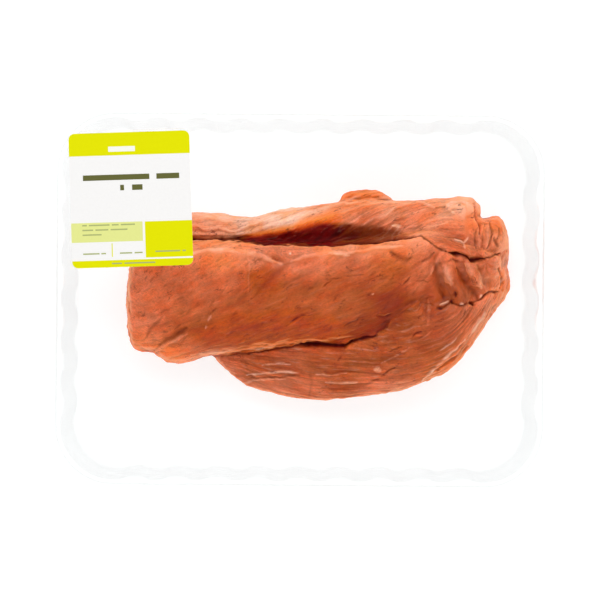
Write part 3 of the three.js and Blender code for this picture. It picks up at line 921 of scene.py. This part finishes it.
def draw_lines(groups, u, v, facing):
    """Sums the lines' rise, and gathers at each point the strongest painted shade and the strongest pale
    mark, fat or a painted highlight.
    """
    rise, dark, pale = np.zeros(len(u)), np.zeros(len(u)), np.zeros(len(u))
    for line, height, half_width, shade in itertools.chain(*groups):
        ends = np.array(line)
        low, high = ends.min(axis=0) - 4 * half_width, ends.max(axis=0) + 4 * half_width
        near = (u > low[0]) & (u < high[0]) & (v > low[1]) & (v < high[1]) & (facing > 0)
        near = np.flatnonzero(near)
        share = on_line(line, half_width, u[near], v[near]) * facing[near]
        rise[near] += height * share
        if shade < 0:
            dark[near] = np.maximum(dark[near], -shade * share)
        else:
            pale[near] = np.maximum(pale[near], shade * share)
    return rise, dark, pale


def tinted(colour, display, share):
    """Colours drawn towards one that is given as display values, by shares from 0 to 1."""
    return colour + (np.array(srgb(*display)[:3]) - colour) * np.clip(share, 0, 1)[:, None]


def flesh_colour(u, v, lobe):
    """Each lobe's colours, blended softly from patch to patch."""
    colour = np.zeros((len(u), 3))
    for name, patches in PATCHES.items():
        here = np.flatnonzero(lobe == name)
        total = np.full((len(here), 1), 1e-9)
        blended = np.zeros((len(here), 3))
        for tone, places in patches.items():
            for at_u, at_v in places:
                away = ((u[here] - at_u) / PATCH_REACH[0]) ** 2 + ((v[here] - at_v) / PATCH_REACH[1]) ** 2
                weight = (np.exp(-away) + 1e-6 / (1 + away))[:, None]
                blended += weight * np.array(srgb(*FLESH[tone])[:3])
                total += weight
        colour[here] = blended / total
    return colour


def meat_mesh(material):
    """The CAD solid's mesh made fine, and the pairs of vertices that its edges join."""
    mesh = fine_mesh(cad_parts["tenderloin"])
    mesh.name = "pork_tenderloin"
    mesh.materials.clear()
    mesh.materials.append(material)
    edges = np.zeros(len(mesh.edges) * 2, dtype=np.int32)
    mesh.edges.foreach_get("vertices", edges)
    return mesh, edges.reshape(-1, 2)


def unevenly_seen_at(points):
    """Where the view shows points, shaken a little so that no drawn line is too even."""
    u, v = seen_at(points)
    u = u + 1.0 * noise(points / 4.5, 21) + 0.5 * noise(points / 1.7, 23)
    v = v + 0.9 * noise(points / 4.5, 22) + 0.5 * noise(points / 1.7, 24)
    return u, v


def fibre_shares(u, v, lobe, level):
    """How stringy the flesh is, and how much detail shows: none where two runs of grain meet."""
    past_ridge = v - follow(UPPER_RIDGE, u)
    on_band = 0.8 * (1 - smoothstep(-3, 1.5, past_ridge)) + 0.3 * smoothstep(2.5, 6, past_ridge)
    stringy = np.where(lobe == "front", 1.0, np.where(lobe == "back", 0.8, on_band))
    stringy = np.maximum(stringy, 0.9 * (1 - smoothstep(0.2, 0.45, level)))
    ridge_seam = np.where((lobe == "upper") & (u < BAND_END), past_ridge - 2, 9)
    fan_seam = np.where(lobe == "upper", u - UPPER_FAN, np.where(lobe == "back", u - BACK_FAN, 9))
    detail = smoothstep(0.8, 4.0, np.minimum(np.abs(ridge_seam), np.abs(fan_seam)))
    return stringy * detail, detail


def carve(mesh, edges):
    """Creases and folds first, then fibres and scratches; gives all that the colours go by."""
    points = relaxed(read_vectors(mesh.vertices, "co") / MM, edges, 5)
    normals = set_points(mesh, points)
    u, v = unevenly_seen_at(points)
    above = v < follow(BACK_CREASE, u)
    lobe = np.where(above, "back", np.where(v > follow(FRONT_CREASE, u), "front", "upper"))
    facing = smoothstep(*LOOKS_UP, normals[:, 2])
    grain = grain_field(u, v, points[:, 2], lobe)
    clear = smoothstep(1.2, 3.0, points[:, 2])

    rise, dark, pale = draw_lines((CREASES, FOLDS, SLITS, RIDGES, STREAKS, FLECKS), u, v, facing)
    lumps = noise(np.column_stack([points[:, 0] / 12, points[:, 1] / 8, points[:, 2] / 10]), 3)
    points += normals * ((rise + 0.4 * lumps) * clear)[:, None]
    normals = set_points(mesh, points)

    broad = noise(grain / (8, 2.6, 6), 5)
    fibres = noise(grain / (2.8, 1.1, 2.4), 7)
    fine = noise(points / 1.3, 9)
    marks = scratches(u, v, facing)
    strands = noise(grain / (16, 0.95, 4), 13)
    stringy, detail = fibre_shares(u, v, lobe, normals[:, 2])
    crags = noise(points / 3.1, 41) + 0.6 * noise(points / 1.8, 43)
    crags *= 1 - smoothstep(0.25, 0.7, normals[:, 2])
    relief = detail * (0.2 * broad + 0.08 * fibres) + 0.2 * stringy * strands
    relief += 0.04 * fine - 0.2 * marks + 0.4 * crags
    points += normals * (relief * clear)[:, None]
    points[:, 2] = np.clip(points[:, 2], LOWEST, HIGHEST)
    normals = set_points(mesh, points)
    return SimpleNamespace(
        points=points, normals=normals, level=normals[:, 2], u=u, v=v, lobe=lobe, grain=grain, dark=dark,
        pale=pale, broad=broad, fibres=fibres, fine=fine, marks=marks, strands=strands, stringy=stringy,
        detail=detail,
    )


def mottle(skin, edges):
    """How much lighter or darker than its patch each point is, by fibres, with painted light on bulging
    places and painted shade in hollows.
    """
    bulge_for_shading = np.einsum("ij,ij->i", skin.points - relaxed(skin.points, edges, 14), skin.normals)
    patchy = noise(skin.points / 5.5, 31)
    tone = 0.14 * patchy + skin.detail * (0.09 * skin.broad + 0.06 * skin.fibres)
    tone += 0.12 * skin.stringy * skin.strands
    # Painted light and shade: bulging points lighter, hollow points darker
    return 1 + tone + np.clip(1.2 * bulge_for_shading, -0.45, 0.3)


def painted_slope_shade(skin):
    """How far each point is in the painted shade of the slope under the back lobe's lip."""
    below = skin.v - follow(SLOPE_TOP, skin.u) + 1.6 * skin.strands
    above_crease = skin.v < follow(BACK_CREASE, skin.u) + 0.8
    return smoothstep(-3.0, 2.5, below) * above_crease * follow(SLOPE_SHADE_DEPTH, skin.u)


def paint(skin, edges):
    """Gives each point's colour as seen in the tray, with painted glow and highlights, and adds the slope
    to the painted shade of the hollows.
    """
    colour = flesh_colour(skin.u, skin.v, skin.lobe)
    front = skin.lobe == "front"
    # Painted light: flesh high on the sides glows peach, and orange where it shows from above, as if lit
    # through its thin edges
    high_on_side = smoothstep(np.where(front, 3, 14), np.where(front, 9, 25), skin.points[:, 2])
    rim = (1 - smoothstep(0.1, 0.7, skin.level)) * high_on_side
    colour = tinted(colour, RIM_GLOW_PEACH, 0.5 * rim)
    colour = tinted(colour, RIM_GLOW_ORANGE, 0.75 * rim * smoothstep(*SEEN_FROM_ABOVE, skin.level))
    colour *= mottle(skin, edges)[:, None]

    # Painted shade: down the back lobe's lip the colour turns orange, then rust, darkening towards the
    # crease
    lip = follow(BACK_LIP, skin.u)
    down = (skin.v - lip) / np.maximum(follow(SLOPE_TOP, skin.u) - lip, 2)
    on_lip = (skin.lobe == "back") * smoothstep(*LIP_START, skin.u) * (1 - smoothstep(*LIP_END, skin.u))
    colour = tinted(colour, LIP_SHADE_ORANGE, 0.9 * on_lip * smoothstep(0.2, 0.6, down))
    colour = tinted(colour, LIP_SHADE_RUST, 0.95 * on_lip * smoothstep(0.5, 0.95, down))

    # Painted shade on the slope under the lip, deepening with its strands
    slope = painted_slope_shade(skin)
    pale = skin.pale * (1 - 0.6 * slope) * (0.75 + 0.4 * skin.fibres + 0.35 * skin.fine)
    skin.dark = np.maximum(skin.dark, slope * (0.88 + 0.14 * skin.strands + 0.1 * skin.fibres))
    # Scratches get a little painted shade
    skin.dark = np.maximum(skin.dark, 0.2 * skin.marks)
    # Pale marks: fat and silverskin, and painted highlights along ridges and edges
    colour = tinted(colour, PALE_FAT_AND_HIGHLIGHT, pale)
    # Painted shade in deep red over creases, folds, slits, scratches and the slope
    return tinted(colour, PAINTED_SHADE_RED, skin.dark)


def reflected(colour, level):
    """What flesh must reflect to be seen in a colour under the scene's light, and a painted glow for the
    brightness it can't reflect.
    """
    light = np.interp(level, (-0.4, 0.0, 1.0), (UNDER_LIGHT, SIDE_LIGHT, TOP_LIGHT))[:, None]
    colour = np.maximum((colour - FLESH_SHEEN) / light, 0.001)
    excess = np.maximum(1.0, colour.max(axis=1) / BRIGHTEST)
    # Painted light: what is brighter than the flesh can reflect is given as a glow
    glow = np.clip(0.7 * (excess - 1), 0, MOST_PAINTED_GLOW) * smoothstep(*SEEN_FROM_ABOVE, level)
    return colour / excess[:, None], glow


def build_meat(material):
    """The folded tenderloin: the CAD solid's form, with its creases, fibres and scratches."""
    mesh, edges = meat_mesh(material)
    skin = carve(mesh, edges)
    colour, glow = reflected(paint(skin, edges), skin.level)
    rows = [
        ("flesh", "FLOAT_COLOR", "color", np.column_stack([colour, np.ones(len(colour))])),
        ("wet", "FLOAT", "value", WETNESS * (1 - skin.dark)),
        ("glow", "FLOAT", "value", glow),
        ("detail", "FLOAT", "value", skin.detail),
        ("stringy", "FLOAT", "value", skin.stringy * (1 - 0.6 * skin.dark)),
        ("grain", "FLOAT_VECTOR", "vector", skin.grain),
    ]
    for name, kind, key, values in rows:
        mesh.attributes.new(name, kind, "POINT").data.foreach_set(key, values.ravel())
    mesh.polygons.foreach_set("use_smooth", [True] * len(mesh.polygons))
    mesh.update()
    piece = bpy.data.objects.new("pork_tenderloin", mesh)
    show(piece)
    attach(piece, "root")
    return piece


# Stage


def build_floor():
    """A light-table floor, brightest under the pack."""
    material, add = new_material("stage_floor")
    place = add("TexCoord").outputs["Object"]
    unsigned = add("VectorMath", {0: place}, operation="ABSOLUTE").outputs["Vector"]
    sides = add("SeparateXYZ", {"Vector": unsigned}).outputs
    reach = add("Math", {0: sides["X"], 1: sides["Y"]}, operation="MAXIMUM").outputs["Value"]
    fall = dict(zip(("From Min", "From Max", "To Min", "To Max"), (*TABLE_REACH, *TABLE_LIGHT)))
    glow = add("MapRange", {"Value": reach, **fall}, interpolation_type="SMOOTHSTEP")
    paint = {
        "Base Color": TABLE_GREY,
        "Roughness": 0.9,
        "Specular IOR Level": 0.1,
        "Emission Color": (1, 1, 1, 1),
        "Emission Strength": glow.outputs["Result"],
    }
    add("OutputMaterial", {"Surface": add("BsdfPrincipled", paint).outputs["BSDF"]})
    mesh = bpy.data.meshes.new("floor")
    half = 6.0  # metres
    corners = [(-half, -half, 0), (half, -half, 0), (half, half, 0), (-half, half, 0)]
    mesh.from_pydata(corners, [], [(0, 1, 2, 3)])
    mesh.materials.append(material)
    floor = bpy.data.objects.new("floor", mesh)
    floor.location.z = -0.0002
    show(floor)


def build_surround():
    """A pale surround, dark overhead so that the film doesn't mirror it."""
    world = bpy.data.worlds.new("surround")
    bpy.context.scene.world = world
    world.use_nodes = True
    tree = world.node_tree
    direction = tree.nodes.new("ShaderNodeTexCoord")
    parts = tree.nodes.new("ShaderNodeSeparateXYZ")
    ramp = tree.nodes.new("ShaderNodeValToRGB")
    tree.links.new(direction.outputs["Generated"], parts.inputs["Vector"])
    tree.links.new(parts.outputs["Z"], ramp.inputs["Fac"])
    tree.links.new(ramp.outputs["Color"], tree.nodes["Background"].inputs["Color"])
    side, overhead = (0.72, 0.73, 0.74, 1), (0.01, 0.01, 0.01, 1)
    colour_ramp(ramp, [(0.0, side), (0.74, side), (0.92, overhead)])


def build_lamps():
    """Two soft lamps that look at the meat."""
    for name, place, size, energy in LAMPS:
        lamp = bpy.data.lights.new(name, "AREA")
        lamp.shape = "RECTANGLE"
        lamp.size, lamp.size_y = size
        lamp.energy = energy
        holder = bpy.data.objects.new(name, lamp)
        holder.location = place
        towards = Vector((0, 0, 0.03)) - holder.location
        holder.rotation_euler = towards.to_track_quat("-Z", "Y").to_euler()
        show(holder)


def build_camera():
    """The photograph's view: straight down, with the pack turned very slightly."""
    data = bpy.data.cameras.new("camera")
    data.sensor_width = SENSOR
    data.lens = SENSOR * CAMERA_HEIGHT / FRAME_WIDTH
    data.clip_end = 50
    camera = bpy.data.objects.new("camera", data)
    camera.location = (0, 0, (TRAY_HEIGHT + CAMERA_HEIGHT) * MM)
    camera.rotation_euler = (0, 0, CAMERA_ROLL)
    show(camera)
    bpy.context.scene.camera = camera


bpy.context.scene.view_settings.view_transform = "Standard"
bpy.context.scene.cycles.transparent_max_bounces = 24  # the clear sheets lie one over another
build_camera()
build_floor()
build_surround()
build_lamps()

tray_sheet = clear_plastic("clear_tray", TRAY_TINTS, 0.6, 0.06, 60.0, 0.0002)
tray = build_tray(tray_sheet)
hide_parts("tray")

film_sheet = clear_plastic("top_film", FILM_TINTS, 0.4, 0.05, 25.0, 0.0003)
film = build_film(film_sheet)
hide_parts("film")

for part in build_label():
    if part.name == "label_paper":
        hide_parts("label")

meat = build_meat(raw_meat("raw_pork"))
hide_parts("tenderloin")
